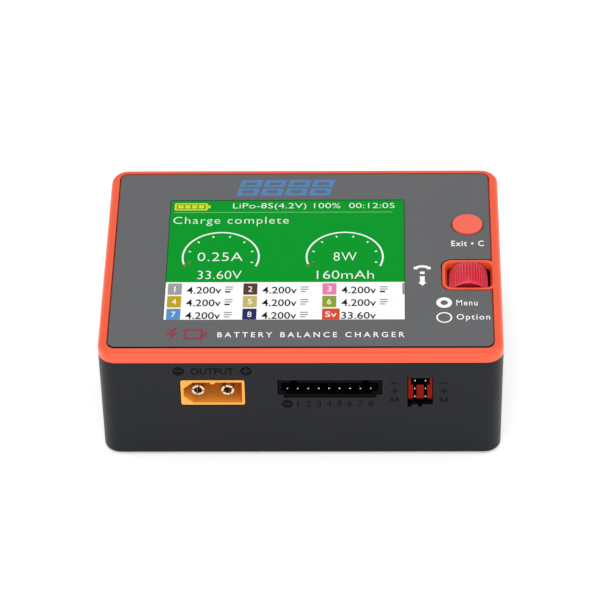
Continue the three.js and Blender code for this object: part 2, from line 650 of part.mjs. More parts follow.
node("control_board", controlBoard(), finish.circuit);
node("power_board", powerBoard(), finish.circuit);
const betweenBoards = [POWER_BOARD.top + AIR, BOARD.bottom - AIR];
node("board_header", box([-2, 12], [14, 16.5], betweenBoards), finish.blackPlastic);
node("heat_sink", heatSink(), finish.aluminium);
node("power_inductor", plate(centredRect(17, 17, 2.5, 4, 0), 13.5, 22.5), finish.ferrite);
node("capacitor_1", capacitor(-14, 6), finish.sleeve);
node("capacitor_2", capacitor(-24, 6), finish.sleeve);
node("transistor_1", transistor(-12), finish.blackPlastic);
node("transistor_2", transistor(8), finish.blackPlastic);
node("microcontroller", box([-25, -15], [-12, -2], [23.7, BOARD.bottom - AIR]), finish.blackPlastic);
node("buzzer", post(26, 6, 4.5, 20.4, BOARD.bottom - AIR), finish.blackPlastic);

node("fan_frame", fanFrame(), finish.blackPlastic);
node("fan_rotor", fanRotor(), finish.blackPlastic);
node("fan_lead", fanLead(), finish.blackPlastic);

// The battery's power socket is at the front. The supply's is the same part, turned to the back.
const turned = new THREE.Group();
turned.rotation.z = Math.PI;
object.add(turned);
for (const [end, group] of [["output", object], ["input", turned]]) {
  node(`${end}_socket`, powerSocket(), finish.amberPlastic, group);
  powerPinPlaces.forEach((x, i) =>
    node(`${end}_pin_${i + 1}`, powerPin(x, POWER_PIN.turns[i]), finish.plating, group));
}

node("balance_socket", balanceSocket(), finish.blackPlastic);
balancePinPlaces.forEach(([x, z], i) =>
  node(`balance_pin_${i + 1}`, squarePin(x, z, BALANCE_PINS.setBack, 9.8), finish.pinMetal));

node("servo_socket", servoSocket(), finish.redPlastic);
servoPinPlaces.forEach(([x, z], i) => {
  const tail = 9.2 + (i % SERVO_PINS.rows) * SERVO_PINS.pitch;
  node(`servo_pin_${i + 1}`, squarePin(x, z, SERVO_PINS.setBack, tail), finish.pinMetal);
});

export default object;
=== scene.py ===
import math

import bmesh
import bpy
from mathutils import Matrix, Vector


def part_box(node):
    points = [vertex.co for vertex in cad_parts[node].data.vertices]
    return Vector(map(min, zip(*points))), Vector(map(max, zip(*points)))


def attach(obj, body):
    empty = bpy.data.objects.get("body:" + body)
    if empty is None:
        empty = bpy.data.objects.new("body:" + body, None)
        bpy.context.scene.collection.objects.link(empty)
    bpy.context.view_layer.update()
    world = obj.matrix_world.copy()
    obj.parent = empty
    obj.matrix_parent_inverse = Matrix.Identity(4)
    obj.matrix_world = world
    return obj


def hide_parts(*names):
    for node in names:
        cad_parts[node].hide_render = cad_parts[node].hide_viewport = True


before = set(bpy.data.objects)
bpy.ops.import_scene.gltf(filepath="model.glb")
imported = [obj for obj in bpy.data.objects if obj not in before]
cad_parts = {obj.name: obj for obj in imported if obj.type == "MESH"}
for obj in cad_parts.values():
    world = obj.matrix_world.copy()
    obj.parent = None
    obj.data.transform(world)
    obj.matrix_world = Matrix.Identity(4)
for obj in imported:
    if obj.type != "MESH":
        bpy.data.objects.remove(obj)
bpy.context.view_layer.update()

mm = 0.001
case = "charger_case"  # the body that everything fixed rides on
scene = bpy.context.scene


# Materials

def linear(hexColour):
    # sRGB hex to the linear colour that shaders take
    channels = [int(hexColour[i:i + 2], 16) / 255 for i in (0, 2, 4)]
    return tuple(c / 12.92 if c <= 0.04045 else ((c + 0.055) / 1.055) ** 2.4 for c in channels) + (1,)


def addNode(tree, kind, settings=None, links=None):
    # settings name a property of the node, or a socket by its name or number
    node = tree.nodes.new(kind)
    for key, value in (settings or {}).items():
        if isinstance(key, int) or key in node.inputs:
            node.inputs[key].default_value = value
        else:
            setattr(node, key, value)
    for key, source in (links or {}).items():
        tree.links.new(source, node.inputs[key])
    return node


def startMaterial(name, plain):
    # a Principled shader with its plain values set, and Object coordinates to hang patterns on
    material = bpy.data.materials.new(name)
    material.use_nodes = True
    tree = material.node_tree
    tree.nodes.clear()
    shader = addNode(tree, "ShaderNodeBsdfPrincipled", plain)
    addNode(tree, "ShaderNodeOutputMaterial", links={"Surface": shader.outputs["BSDF"]})
    where = addNode(tree, "ShaderNodeTexCoord").outputs["Object"]
    return material, tree, shader, where


def finishMaterial(name, look):
    # low and high are the two shades that drift into each other over patch millimetres,
    # rough is the range of roughness, grain and depth the size and height of the surface texture in
    # millimetres, and stretch draws the grain out along an axis, as brushing and turning do
    plain = {"Metallic": look.get("metallic", 0), "Specular IOR Level": look.get("specular", 0.5),
             "Coat Weight": look.get("coat", 0), "Coat Roughness": look.get("coatRough", 0.1)}
    material, tree, shader, where = startMaterial(name, plain)
    patches = addNode(tree, "ShaderNodeTexNoise", {"Scale": 1 / (look["patch"] * mm), "Detail": 3},
                      {"Vector": where})
    tint = addNode(tree, "ShaderNodeMix",
                   {"data_type": "RGBA", 6: linear(look["low"]), 7: linear(look["high"])},
                   {0: patches.outputs["Fac"]})
    tree.links.new(tint.outputs[2], shader.inputs["Base Color"])
    drawn = addNode(tree, "ShaderNodeMapping", {"Scale": look.get("stretch", (1, 1, 1))}, {"Vector": where})
    grain = addNode(tree, "ShaderNodeTexNoise", {"Scale": 1 / (look["grain"] * mm), "Detail": 2},
                    {"Vector": drawn.outputs["Vector"]})
    smooth, rough = look["rough"]
    gloss = addNode(tree, "ShaderNodeMapRange",
                    {"From Min": 0.3, "From Max": 0.7, "To Min": smooth, "To Max": rough},
                    {"Value": grain.outputs["Fac"]})
    tree.links.new(gloss.outputs["Result"], shader.inputs["Roughness"])
    relief = addNode(tree, "ShaderNodeBump", {"Strength": 1, "Distance": look["depth"] * mm},
                     {"Height": grain.outputs["Fac"]})
    tree.links.new(relief.outputs["Normal"], shader.inputs["Normal"])
    return material


def litMaterial(name, colour, glow=1.0):
    # liquid crystal picture lit from behind: its own light, and fine rows of dots that show in the gloss
    material, tree, shader, where = startMaterial(
        name, {"Base Color": linear("050505"), "Specular IOR Level": 0.02,
               "Emission Color": linear(colour), "Emission Strength": glow})
    dotPitch = 0.18  # 320 dots over 57.6 mm
    rows = addNode(tree, "ShaderNodeTexWave", {"wave_type": "BANDS", "bands_direction": "Y",
                                               "Scale": 1 / (dotPitch * 20 * mm)}, {"Vector": where})
    gloss = addNode(tree, "ShaderNodeMapRange", {"To Min": 0.3, "To Max": 0.4},
                    {"Value": rows.outputs["Fac"]})
    tree.links.new(gloss.outputs["Result"], shader.inputs["Roughness"])
    return material


looks = {
    # moulded ABS with a spark-eroded texture: a soft sheen, nearly black, slightly blue
    "mouldedAbsDark": dict(low="0f1217", high="13161b", patch=22, rough=(0.34, 0.44), grain=0.35, depth=0.005,
                           specular=0.18),
    # moulded ABS, orange, satin: the colour comes through from inside, with a soft highlight on the edges
    "mouldedAbsOrange": dict(low="ea522c", high="ee5630", patch=18, rough=(0.27, 0.34), grain=0.4,
                             depth=0.003, specular=0.42),
    # the same plastic in the key's own batch, a shade pinker
    "mouldedAbsKey": dict(low="ee6450", high="f26854", patch=9, rough=(0.36, 0.44), grain=0.35, depth=0.003,
                          specular=0.25),
    # polycarbonate film printed from behind: matt, with a fine even tooth
    "matteFilm": dict(low="5f6062", high="636466", patch=26, rough=(0.5, 0.6), grain=0.3, depth=0.003,
                      specular=0.15),
    # the film's cut edges, painted dark as the shade in the gaps between the panel and the cover around it
    "filmEdgeGapShade": dict(low="141416", high="1a1a1c", patch=4, rough=(0.4, 0.5), grain=0.3, depth=0.002,
                     specular=0.1),
    # screen-printed inks: flat colour that stands just proud of the film
    "whiteInk": dict(low="f2f2f2", high="f8f8f8", patch=4, rough=(0.5, 0.6), grain=0.2, depth=0.003,
                     specular=0.2),
    "blueInk": dict(low="4a7aac", high="507fb0", patch=4, rough=(0.5, 0.6), grain=0.2, depth=0.003,
                    specular=0.2),
    "redInk": dict(low="863448", high="8c394c", patch=4, rough=(0.5, 0.6), grain=0.2, depth=0.003,
                   specular=0.2),
    # laser-darkened legend on the moulded case
    "darkLegend": dict(low="08080a", high="0b0b0d", patch=4, rough=(0.55, 0.65), grain=0.3, depth=0.006,
                       specular=0.06),
    # hardened glass over the display, black printed at its border
    "blackGlass": dict(low="0a0a0b", high="0d0d0e", patch=10, rough=(0.06, 0.1), grain=1, depth=0.0005),
    # turned aluminium, anodised crimson: metal under a clear hard skin, with fine turning lines
    "anodisedAluminium": dict(low="e4384f", high="ee4259", patch=6, rough=(0.2, 0.3), grain=0.2, depth=0.002,
                              metallic=0.5, stretch=(1, 0.1, 1), coat=0.3, coatRough=0.2),
    # nylon of the power sockets: amber, waxy, lightly glossy
    "amberNylon": dict(low="f0a038", high="f6aa42", patch=6, rough=(0.3, 0.4), grain=0.3, depth=0.004,
                       specular=0.4),
    # nylon of the servo insert: deep orange-red, dull
    "redNylon": dict(low="7a1205", high="841607", patch=4, rough=(0.36, 0.46), grain=0.3, depth=0.004,
                     specular=0.03),
    # glass-filled polyester of connectors, switches and fan: black, dry sheen
    "blackPolyester": dict(low="070709", high="0b0b0d", patch=5, rough=(0.45, 0.6), grain=0.3, depth=0.008,
                           specular=0.03),
    # gold over nickel on the power pins
    "goldPlate": dict(low="cfc4ae", high="dcd2be", patch=2, rough=(0.12, 0.22), grain=0.2, depth=0.002,
                      metallic=1),
    # tin over copper on the square pins
    "tinPlate": dict(low="dededf", high="ececec", patch=2, rough=(0.2, 0.3), grain=0.2, depth=0.002,
                     metallic=1),
    # zinc-plated steel of screws, plungers and axle
    "zincSteel": dict(low="9b9da1", high="b4b6ba", patch=1.5, rough=(0.25, 0.4), grain=0.2, depth=0.004,
                      metallic=1),
    # rolled nickel steel of the display's tray, brushed along its length
    "brushedSteel": dict(low="a9abb0", high="b8babf", patch=8, rough=(0.3, 0.42), grain=0.3, depth=0.004,
                         metallic=1, stretch=(0.05, 1, 1)),
    # polyimide film of the display's flat cable: amber brown, glossy
    "polyimideFilm": dict(low="9a5418", high="a86020", patch=3, rough=(0.2, 0.3), grain=0.4, depth=0.002),
    # epoxy solder mask on the boards: deep blue, glossy, with a weave of glass cloth just showing
    "solderMask": dict(low="0f2c49", high="153755", patch=1.4, rough=(0.2, 0.35), grain=0.5, depth=0.01),
    # extruded aluminium of the heat sink: die lines run along the fins
    "extrudedAluminium": dict(low="9fa2a6", high="b3b6ba", patch=5, rough=(0.3, 0.45), grain=0.25, depth=0.01,
                              metallic=1, stretch=(1, 0.04, 1)),
    # pressed iron powder of the inductor's core: dark, dull, granular
    "ironPowder": dict(low="2c2d30", high="3a3b3f", patch=0.8, rough=(0.6, 0.8), grain=0.3, depth=0.03),
    # shrunk sleeve of the capacitors: dark, glossy film
    "sleeveFilm": dict(low="161a22", high="1c212b", patch=4, rough=(0.18, 0.28), grain=0.5, depth=0.004),
    # moulded silicone rubber of the feet: dull, slightly dusty
    "siliconeRubber": dict(low="141415", high="1c1c1d", patch=2, rough=(0.75, 0.9), grain=0.4, depth=0.02,
                           specular=0.25),
}
materials = {name: finishMaterial(name, look) for name, look in looks.items()}

litColours = {
    "litGreen": "04982a", "litWhite": "fefefe", "litPale": "78c87c", "litGrey": "909090", "litDark": "18181c",
    "litYellow": "d8e032", "litMark": "b4562c", "litCell1": "a0a0a0", "litCell2": "5c3c32",
    "litCell3": "e882b4", "litCell4": "bfa518", "litCell5": "c3b96e", "litCell6": "8ca532",
    "litCell7": "5a91c8", "litCell8": "2d2d64", "litTotal": "dc4b32",
}
materials.update({name: litMaterial(name, colour) for name, colour in litColours.items()})
print("materials made")


# Making and placing pieces

def newPiece(name, mesh, material, body=case, replaced=()):
    piece = bpy.data.objects.new(name, mesh)
    scene.collection.objects.link(piece)
    mesh.materials.clear()
    mesh.materials.append(materials[material])
    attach(piece, body)
    if replaced:
        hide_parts(*replaced)
    return piece


def soften(piece, width, segments=2):
    # rounds every edge sharper than 35 degrees, and lets the large faces shade as flats
    piece.data.shade_smooth()
    edge = piece.modifiers.new("edge", "BEVEL")
    edge.width = width * mm
    edge.segments = segments
    edge.limit_method = "ANGLE"
    edge.angle_limit = math.radians(35)
    flats = piece.modifiers.new("flats", "WEIGHTED_NORMAL")
    flats.weight = 100
    return piece


def cageOf(node):
    # a merged copy of a CAD node, its flat faces made whole, as a cage for a modifier stack
    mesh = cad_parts[node].data.copy()
    cage = bmesh.new()
    cage.from_mesh(mesh)
    bmesh.ops.remove_doubles(cage, verts=cage.verts, dist=0.002 * mm)
    bmesh.ops.dissolve_degenerate(cage, dist=0.002 * mm, edges=cage.edges)
    bmesh.ops.dissolve_limit(cage, angle_limit=math.radians(0.6), verts=cage.verts, edges=cage.edges)
    cage.to_mesh(mesh)
    cage.free()
    mesh.name = node
    return mesh


def fromCad(node, name, material, width, body=case, segments=2):
    piece = newPiece(name, cageOf(node), material, body, (node,))
    return soften(piece, width, segments)


def meshFrom(name, points, faces):
    # points in millimetres
    mesh = bpy.data.meshes.new(name)
    mesh.from_pydata([Vector(p) * mm for p in points], [], faces)
    mesh.update()
    return mesh


def bake(holder):
    # the finished mesh of a helper object, which is then removed
    bpy.context.view_layer.update()
    mesh = bpy.data.meshes.new_from_object(holder.evaluated_get(bpy.context.evaluated_depsgraph_get()))
    data = holder.data
    bpy.data.objects.remove(holder)
    if isinstance(data, bpy.types.Mesh):
        bpy.data.meshes.remove(data)
    else:
        bpy.data.curves.remove(data)
    return mesh


def helper(name, data):
    holder = bpy.data.objects.new(name, data)
    scene.collection.objects.link(holder)
    return holder


def turned(name, profile, steps, place, width=0.0, tilt=0.0):
    # a Screw shape: the profile is (radius, height) from top to bottom, place is where its axis stands
    mesh = bpy.data.meshes.new(name)
    edges = [(i, i + 1) for i in range(len(profile) - 1)]
    mesh.from_pydata([(r * mm, 0, z * mm) for r, z in profile], edges, [])
    holder = helper(name, mesh)
    screw = holder.modifiers.new("turn", "SCREW")
    screw.steps = screw.render_steps = steps
    screw.use_merge_vertices = True
    screw.merge_threshold = 0.002 * mm
    if width:
        soften(holder, width)
    made = bake(holder)
    made.transform(Matrix.Translation(Vector(place) * mm) @ Matrix.Rotation(math.radians(tilt), 4, "X"))
    made.name = name
    return made


def joined(name, meshes):
    # several meshes as one
    whole = bmesh.new()
    for mesh in meshes:
        whole.from_mesh(mesh)
        bpy.data.meshes.remove(mesh)
    result = bpy.data.meshes.new(name)
    whole.to_mesh(result)
    whole.free()
    return result


# Flat artwork: outlines in millimetres on the top face (x, y) or on the front (x, z)

def rectangle(x0, x1, y0, y1, radius=0.0, steps=4):
    if not radius:
        return [(x0, y0), (x1, y0), (x1, y1), (x0, y1)]
    corners = [(x1 - radius, y0 + radius, -90), (x1 - radius, y1 - radius, 0),
               (x0 + radius, y1 - radius, 90), (x0 + radius, y0 + radius, 180)]
    return [(cx + radius * math.cos(math.radians(start + 90 * i / steps)),
             cy + radius * math.sin(math.radians(start + 90 * i / steps)))
            for cx, cy, start in corners for i in range(steps + 1)]


def arcPoints(x, y, radius, start, end, steps):
    angles = [math.radians(start + (end - start) * i / steps) for i in range(steps + 1)]
    return [(x + radius * math.cos(a), y + radius * math.sin(a)) for a in angles]


def arcBand(x, y, radius, width, start, end, steps=32):
    outer = arcPoints(x, y, radius + width / 2, start, end, steps)
    inner = arcPoints(x, y, radius - width / 2, end, start, steps)
    return outer + inner


def disc(x, y, radius, steps=32):
    return arcPoints(x, y, radius, 0, 360, steps)[:-1]


def artwork(loops, low, high):
    # outlines filled and raised between two heights; a loop inside another is a hole
    curve = bpy.data.curves.new("artwork", "CURVE")
    curve.dimensions = "2D"
    curve.fill_mode = "BOTH"
    curve.extrude = (high - low) / 2 * mm
    for loop in loops:
        spline = curve.splines.new("POLY")
        spline.points.add(len(loop) - 1)
        spline.use_cyclic_u = True
        for point, (x, y) in zip(spline.points, loop):
            point.co = (x * mm, y * mm, 0, 1)
    mesh = bake(helper("artwork", curve))
    mesh.transform(Matrix.Translation((0, 0, (low + high) / 2 * mm)))
    return mesh


def lettering(words, x0, x1, y0, y1, low, high, weight=0.0, spacing=1.0, turn=0):
    # words that fill the box, raised between two heights; weight thickens the strokes
    curve = bpy.data.curves.new("lettering", "FONT")
    curve.body = words
    curve.offset = weight
    curve.space_character = spacing
    curve.resolution_u = 3
    curve.extrude = 0.1
    mesh = bake(helper("lettering", curve))
    mesh.transform(Matrix.Rotation(math.radians(turn), 4, "Z"))
    points = [v.co for v in mesh.vertices]
    spans = [(min(p[i] for p in points), max(p[i] for p in points)) for i in range(3)]
    aims = [(x0, x1), (y0, y1), (low, high)]
    scales = [(aim[1] - aim[0]) * mm / (span[1] - span[0]) for aim, span in zip(aims, spans)]
    shift = [aim[0] * mm - span[0] * scale for aim, span, scale in zip(aims, spans, scales)]
    mesh.transform(Matrix.Translation(shift) @ Matrix.Diagonal((*scales, 1)))
    return mesh


def onFront(mesh, face, lean):
    # stands artwork up on the front: its y becomes z, its height comes towards -Y, and it leans with the
    # case's side, which stands at face when it is as high as the parting line and draws in below it
    mesh.transform(Matrix.Rotation(math.radians(90), 4, "X"))
    slope = Matrix.Identity(4)
    slope[1][2] = -lean
    mesh.transform(Matrix.Translation((0, face * mm, 0)) @ slope)
    return mesh


# Camera and light

shot = {
    "pitch": 40.9, "yaw": 1.76, "roll": -1.26,  # degrees
    "target": (-0.97, 4.85, 15.4), "distance": 897.4,  # millimetres
    "lens": 217.1, "sensor": 36,
}
lens = bpy.data.cameras.new("camera")
lens.lens = shot["lens"]
lens.sensor_width = shot["sensor"]
lens.clip_start, lens.clip_end = 0.01, 20
camera = bpy.data.objects.new("camera", lens)
scene.collection.objects.link(camera)
scene.camera = camera
aim = (Matrix.Rotation(math.radians(shot["yaw"]), 4, "Z")
       @ Matrix.Rotation(math.radians(90 - shot["pitch"]), 4, "X")
       @ Matrix.Rotation(math.radians(shot["roll"]), 4, "Z"))
away = aim.to_3x3() @ Vector((0, 0, shot["distance"]))
camera.matrix_world = Matrix.Translation((Vector(shot["target"]) + away) * mm) @ aim

studio = {
    "sky": "ffffff", "skyStrength": 0.8,
    "floor": "fafafa", "floorSize": 5000, "floorGlow": 0.35, "view": "Standard",
}
softBoxes = {
    # place and size in millimetres, power in watts, aimed at the middle of the charger
    "overhead": dict(place=(-60, 60, 900), size=(700, 500), power=1.5),
    "front": dict(place=(0, -800, 260), size=(700, 260), power=1.3),
    "left": dict(place=(-700, -150, 200), size=(250, 500), power=0.7),
    "right": dict(place=(700, -150, 200), size=(250, 500), power=0.9),
}
world = bpy.data.worlds.new("studio")
scene.world = world
world.use_nodes = True
world.node_tree.nodes["Background"].inputs["Color"].default_value = linear(studio["sky"])
world.node_tree.nodes["Background"].inputs["Strength"].default_value = studio["skyStrength"]
scene.view_settings.view_transform = studio["view"]

for name, box in softBoxes.items():
    light = bpy.data.lights.new(name, "AREA")
    light.shape = "RECTANGLE"
    light.size, light.size_y = (side * mm for side in box["size"])
    light.energy = box["power"]
    lamp = bpy.data.objects.new(name, light)
    scene.collection.objects.link(lamp)
    lamp.location = Vector(box["place"]) * mm
    lamp.rotation_euler = (Vector(shot["target"]) * mm - lamp.location).to_track_quat("-Z", "Y").to_euler()

half = studio["floorSize"] / 2
corners = [(-half, -half, 0), (half, -half, 0), (half, half, 0), (-half, half, 0)]
floor = bpy.data.objects.new("floor", meshFrom("floor", corners, [(0, 1, 2, 3)]))
scene.collection.objects.link(floor)
backdrop = finishMaterial("litBackdrop", dict(low=studio["floor"], high="fcfcfc", patch=300, rough=(0.8, 0.9),
                                              grain=2, depth=0.01, specular=0.1))
backdrop.node_tree.nodes["Principled BSDF"].inputs["Emission Color"].default_value = linear("ffffff")
backdrop.node_tree.nodes["Principled BSDF"].inputs["Emission Strength"].default_value = studio["floorGlow"]
floor.data.materials.append(backdrop)
print("camera and light set")


# Case, cover and panel

fromCad("lower_case", "caseShell", "mouldedAbsDark", 0.18)
fromCad("top_cover", "coverShell", "mouldedAbsOrange", 0.25)
panel = fromCad("face_panel", "facePanel", "matteFilm", 0.05)
# every side face of the panel gets the dark second slot: painted shade in the gaps around the panel
panel.data.materials.append(materials["filmEdgeGapShade"])
for face in panel.data.polygons:
    face.material_index = 1 if abs(face.normal.z) < 0.5 else 0
for n in range(1, 5):
    fromCad(f"case_screw_{n}", f"caseScrew{n}", "zincSteel", 0.12)

foot = {"radius": 4, "thick": 1.2, "edge": 0.25}
for n in range(1, 5):
    low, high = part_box(f"rubber_foot_{n}")
    profile = [(0, foot["thick"]), (foot["radius"], foot["thick"]), (foot["radius"], foot["edge"]),
               (foot["radius"] - foot["edge"], 0), (0, 0)]
    middle = (low + high) / 2 / mm
    mesh = turned(f"rubberFoot{n}", profile, 40, (middle.x, middle.y, 0), width=0.1)
    newPiece(f"rubberFoot{n}", mesh, "siliconeRubber", replaced=(f"rubber_foot_{n}",))
print("case made")


# Printed artwork on the panel

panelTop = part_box("face_panel")[1].z / mm
glassLow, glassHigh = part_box("display_glass")
artOrigin = Matrix.Translation((0, (glassLow.y + glassHigh.y) / 2, 0))  # artwork is measured from here
ink = {"sunk": 0.01, "proud": 0.02}  # how far a print reaches into and out of what it is printed on
inkLow, inkHigh = panelTop - ink["sunk"], panelTop + ink["proud"]


def onPanel(name, parts, material):
    mesh = joined(name, parts)
    mesh.transform(artOrigin)
    return newPiece(name, mesh, material)


def words(text, box, **settings):
    return lettering(text, *box, inkLow, inkHigh, **settings)


title = {"text": "BATTERY BALANCE CHARGER", "box": (-19.8, 24.7, -28.95, -27.1), "weight": 0.008,
         "spacing": 1.5}
onPanel("titlePrint", [words(title["text"], title["box"], weight=title["weight"], spacing=title["spacing"])],
        "whiteInk")

keyLabel = {"box": (36.35, 44.3, 4.55, 6.65), "weight": 0.012, "spacing": 1.15}
onPanel("keyLabelPrint", [words("Exit • C", keyLabel["box"], weight=keyLabel["weight"],
                                spacing=keyLabel["spacing"])], "whiteInk")

choices = {
    "thick": dict(x=34.3, y=-16.5, radius=1.9, hole=0.9, text="Menu", box=(37.25, 42.3, -17.55, -15.5)),
    "thin": dict(x=34.25, y=-21.9, radius=1.92, hole=1.55, text="Option", box=(37.2, 45.2, -23.3, -20.7)),
}
for name, mark in choices.items():
    parts = [
        artwork([disc(mark["x"], mark["y"], mark["radius"]), disc(mark["x"], mark["y"], mark["hole"])],
                inkLow, inkHigh),
        words(mark["text"], mark["box"], weight=0.006, spacing=1.2),
    ]
    onPanel(f"{name}RingPrint", parts, "whiteInk")

# wheel sign: turn it either way, or press it down
sign = {"x": 29.15, "arcY": -5.35, "arcRadius": 2.3, "band": 0.8, "reach": 42, "head": 0.72, "stem": 1.15,
        "square": (-5.9, -5.0), "arrow": (-6.75, -9.0, -10.25), "barb": 1.05}
half = sign["stem"] / 2
parts = [artwork([arcBand(sign["x"], sign["arcY"], sign["arcRadius"], sign["band"],
                          90 - sign["reach"], 90 + sign["reach"], 16)], inkLow, inkHigh)]
for side in (-1, 1):
    turn = math.radians(90 - side * sign["reach"])
    tip = Vector((sign["x"], sign["arcY"])) + Vector((math.cos(turn), math.sin(turn))) * sign["arcRadius"]
    along = Vector((side * math.sin(turn), -side * math.cos(turn))) * sign["head"]
    across = Vector((math.cos(turn), math.sin(turn))) * sign["head"]
    parts.append(artwork([[tuple(tip + across), tuple(tip - across), tuple(tip + along)]], inkLow, inkHigh))
parts.append(artwork([rectangle(sign["x"] - half, sign["x"] + half, *sign["square"], 0.15)], inkLow, inkHigh))
shaftTop, shaftLow, point = sign["arrow"]
outline = [(-half, shaftTop), (-half, shaftLow), (-sign["barb"], shaftLow), (0, point),
           (sign["barb"], shaftLow), (half, shaftLow), (half, shaftTop)]
parts.append(artwork([[(sign["x"] + x, y) for x, y in outline]], inkLow, inkHigh))
onPanel("wheelSignPrint", parts, "whiteInk")

# four battery cells in a row, leaning, each an open box in two halves
cells = {"left": -16.9, "right": 8.5, "low": 24.2, "high": 30.4, "count": 4, "gap": 0.7, "lean": 0.22,
         "line": 1.2, "split": 0.55, "rail": 1, "middleRail": 0.8}
pitch = (cells["right"] - cells["left"] - cells["lean"] * (cells["high"] - cells["low"])) / cells["count"]


def leaning(x0, x1, low, high):
    # a box whose sides lean to the right as they rise
    return [(x + cells["lean"] * (y - cells["low"]), y) for x, y in rectangle(x0, x1, low, high)]


parts = []
for i in range(cells["count"]):
    x0 = cells["left"] + i * pitch
    x1 = x0 + pitch - cells["gap"]
    inside = (x0 + cells["line"], x1 - cells["line"])
    middle = (cells["low"] + cells["high"]) / 2
    below, above = middle - cells["split"] / 2, middle + cells["split"] / 2
    lowHole = leaning(*inside, cells["low"] + cells["rail"], below - cells["middleRail"])
    highHole = leaning(*inside, above + cells["middleRail"], cells["high"] - cells["rail"])
    parts.append(artwork([leaning(x0, x1, cells["low"], below), lowHole], inkLow, inkHigh))
    parts.append(artwork([leaning(x0, x1, above, cells["high"]), highHole], inkLow, inkHigh))
onPanel("cellRowPrint", parts, "blueInk")

# a bolt beside a battery outline
bolt = [(-30.3, -25.5), (-32.1, -28.1), (-30.9, -28.1), (-31.4, -30.0), (-29.2, -27.3), (-30.4, -27.3),
        (-29.3, -25.5)]
battery = {"outside": (-27.9, -23.2, -29.7, -25.9), "inside": (-27.2, -23.9, -29.0, -26.6),
           "cap": (-23.0, -22.4, -28.6, -27.0)}
parts = [artwork([bolt], inkLow, inkHigh),
         artwork([rectangle(*battery["outside"], 0.5), rectangle(*battery["inside"], 0.2)], inkLow, inkHigh),
         artwork([rectangle(*battery["cap"])], inkLow, inkHigh)]
onPanel("boltPrint", parts, "redInk")
print("panel artwork printed")


# Display

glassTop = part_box("display_glass")[1].z / mm
fromCad("display_glass", "displayGlass", "blackGlass", 0.08)
picture = {"left": -32.93, "right": 24.83, "low": -22.43, "high": 22.43, "split": -8.7, "layer": 0.012,
           "sunk": 0.004, "statusLine": (-32.0, 21.9, 17.75, 17.95)}


def lit(name, parts, material):
    mesh = joined(name, parts)
    mesh.transform(artOrigin)
    return newPiece(name, mesh, material)


def layer(level):
    # the picture is built up in thin layers, counted from the glass
    low = glassTop + level * picture["layer"] - picture["sunk"]
    return low, low + picture["layer"]


def litBox(level, *sides, radius=0.0):
    return artwork([rectangle(*sides, radius)], *layer(level))


def litWords(text, box, level, **settings):
    return lettering(text, *box, *layer(level), **settings)


pictureWidth = (picture["left"], picture["right"])
lit("pictureField", [litBox(0, *pictureWidth, picture["split"], picture["high"])], "litGreen")
lit("cellTable", [litBox(0, *pictureWidth, picture["low"], picture["split"])], "litWhite")

thin = -0.013  # takes some of the weight off the strokes
readings = [
    litWords("LiPo-8S(4.2V) 100%  00:12:05", (-17.5, 22.5, 18.75, 21.4), 1, weight=thin),
    litWords("Charge complete", (-32.1, -3.6, 12.6, 16.1), 1, weight=thin, spacing=1.12),
    litWords("0.25A", (-25.6, -14.6, -0.75, 2.45), 1, weight=thin, spacing=1.05),
    litWords("33.60V", (-25.4, -14.7, -7.5, -4.45), 1, weight=thin),
    litWords("8W", (7.6, 13.2, -0.75, 2.45), 1, weight=thin, spacing=1.1),
    litWords("160mAh", (3.6, 17.4, -7.5, -4.45), 1, weight=thin),
]
lit("readings", readings, "litWhite")
lit("statusLine", [litBox(1, *picture["statusLine"])], "litPale")

gauges = {"left": dict(x=-19.95, y=0.75), "right": dict(x=10.3, y=0.75)}
dial = {"radius": 9.3, "line": 0.42, "start": -22, "end": 197, "zero": 202, "ticks": 7, "firstTick": -15,
        "tickPitch": 30, "tickRadius": 7.9, "tickLong": 0.6, "tickWide": 0.36}


def dialTick(centre, number):
    angle = math.radians(dial["firstTick"] + number * dial["tickPitch"])
    outward, along = Vector((math.cos(angle), math.sin(angle))), Vector((-math.sin(angle), math.cos(angle)))
    middle = Vector((centre["x"], centre["y"])) + outward * dial["tickRadius"]
    long, wide = outward * dial["tickLong"] / 2, along * dial["tickWide"] / 2
    corners = [middle - long - wide, middle + long - wide, middle + long + wide, middle - long + wide]
    return artwork([[tuple(corner) for corner in corners]], *layer(1))


def dialArc(centre, extra, start, end, steps):
    band = arcBand(centre["x"], centre["y"], dial["radius"], dial["line"] + extra, start, end, steps)
    return artwork([band], *layer(1))


for name, centre in gauges.items():
    parts = [dialArc(centre, 0, dial["start"], dial["end"], 64)]
    parts += [dialTick(centre, number) for number in range(dial["ticks"])]
    lit(f"{name}Gauge", parts, "litWhite")
    mark = [dialArc(centre, 0.1, dial["end"], dial["zero"], 4), dialTick(centre, dial["ticks"])]
    lit(f"{name}GaugeZero", mark, "litMark")

# a small battery with four bars stands at the head of the status line
sign = {"outside": (-32.0, -23.8, 18.65, 21.4), "inside": (-31.5, -24.3, 19.1, 20.95),
        "cap": (-23.7, -23.1, 19.5, 20.55), "bars": 4, "firstBar": -31.2, "barPitch": 1.72, "barWide": 1.4,
        "barSpan": (19.4, 20.65)}
parts = [artwork([rectangle(*sign["outside"], 0.3), rectangle(*sign["inside"], 0.1)], *layer(1)),
         litBox(1, *sign["cap"])]
for i in range(sign["bars"]):
    x = sign["firstBar"] + i * sign["barPitch"]
    parts.append(litBox(1, x, x + sign["barWide"], *sign["barSpan"]))
lit("chargeSign", parts, "litYellow")

